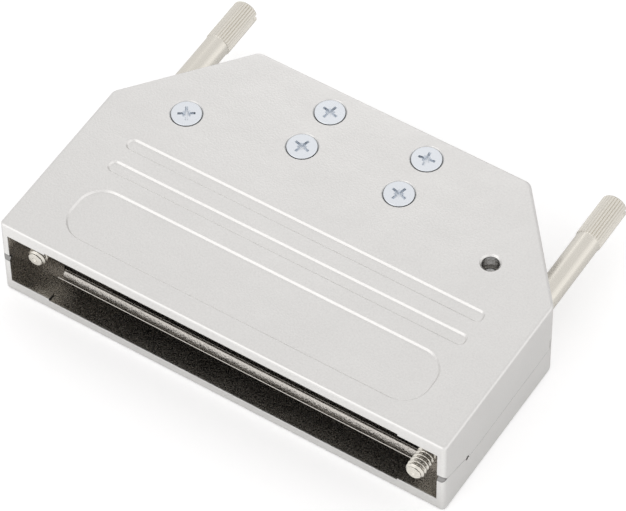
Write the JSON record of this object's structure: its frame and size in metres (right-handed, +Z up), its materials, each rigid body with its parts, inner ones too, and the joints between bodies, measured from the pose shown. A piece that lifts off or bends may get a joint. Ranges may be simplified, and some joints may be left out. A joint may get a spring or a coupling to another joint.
{
  "type": "d-sub hood",
  "caption": "Straight die-cast metal hood for a 37-way D-sub connector, with captive knurled thumbscrews and a clamped rear cable exit.",
  "frame": {"origin": "middle of the mating face, on the parting plane between the two shells", "axes": "+X across the connector towards the right-hand thumbscrew, +Y from the mating face to the cable end, +Z up through the shell that holds the four clamp screws"},
  "size_m": [0.0722, 0.0569, 0.0144],
  "materials": {
    "shell_casting": "satin nickel plating over a fine-grained zinc die casting",
    "zinc_plated_screw": "bright bluish zinc plating",
    "clamp_bar_steel": "dull nickel-plated steel",
    "thumbscrew_nickel": "nickel-plated turned steel, satin with turning marks",
    "spring_steel_ring": "dark spring steel"
  },
  "bodies": {
    "hood": {"upper_shell": "shell_casting", "lower_shell": "shell_casting", "upper_shell_screw": "zinc_plated_screw", "lower_shell_screw": "zinc_plated_screw", "front_left_clamp_screw": "zinc_plated_screw", "front_right_clamp_screw": "zinc_plated_screw", "rear_left_clamp_screw": "zinc_plated_screw", "rear_right_clamp_screw": "zinc_plated_screw", "front_clamp_bar": "clamp_bar_steel", "rear_clamp_bar": "clamp_bar_steel"},
    "left_ring": {"left_retaining_ring": "spring_steel_ring"},
    "left_screw": {"left_thumbscrew": "thumbscrew_nickel"},
    "right_ring": {"right_retaining_ring": "spring_steel_ring"},
    "right_screw": {"right_thumbscrew": "thumbscrew_nickel"}
  },
  "joints": [
    {"name": "left_screw_slide", "type": "slide", "parent": "hood", "child": "left_ring", "axis": [0, -1, 0], "range_m": [-0.00265, 0.00625]},
    {"name": "left_screw_turn", "type": "hinge", "parent": "left_ring", "child": "left_screw", "pos_m": [-0.03175, 0.02, 0], "axis": [0, -1, 0], "continuous": true},
    {"name": "right_screw_slide", "type": "slide", "parent": "hood", "child": "right_ring", "axis": [0, -1, 0], "range_m": [-0.00535, 0.00355]},
    {"name": "right_screw_turn", "type": "hinge", "parent": "right_ring", "child": "right_screw", "pos_m": [0.03175, 0.02, 0], "axis": [0, -1, 0], "continuous": true}
  ]
}
